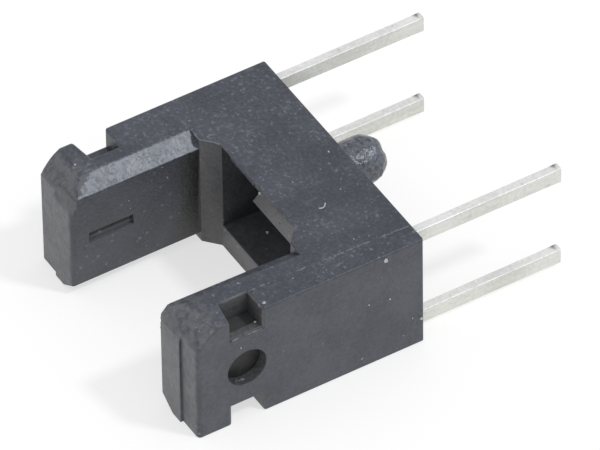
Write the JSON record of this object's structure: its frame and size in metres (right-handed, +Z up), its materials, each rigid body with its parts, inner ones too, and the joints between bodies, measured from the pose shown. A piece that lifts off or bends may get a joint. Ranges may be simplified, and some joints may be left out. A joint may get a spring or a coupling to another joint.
{
  "type": "slotted optical switch",
  "caption": "Small U-shaped slotted optical switch with an emitter arm and a detector arm across a gap, a locating peg and straight board leads; it senses a vane that passes through the slot.",
  "frame": {"origin": "middle of the face that sits on the circuit board, between the lead rows", "axes": "+Y along the leads, out of the board face; +Z up through the thickness as it lies; +X from the emitter arm to the detector arm"},
  "size_m": [0.0068, 0.0099, 0.0032],
  "materials": {
    "black_plastic": "fine moulded matt",
    "dark_epoxy": "smooth, passes infrared only",
    "tinned_lead": "bright tin plate",
    "chip": "polished",
    "bond_wire": "bright gold"
  },
  "bodies": {
    "root": {"housing": "black_plastic", "emitter_package": "dark_epoxy", "emitter_anode_lead": "tinned_lead", "emitter_cathode_lead": "tinned_lead", "emitter_chip": "chip", "emitter_wire": "bond_wire", "detector_package": "dark_epoxy", "detector_collector_lead": "tinned_lead", "detector_emitter_lead": "tinned_lead", "detector_chip": "chip", "detector_wire": "bond_wire"}
  },
  "joints": []
}
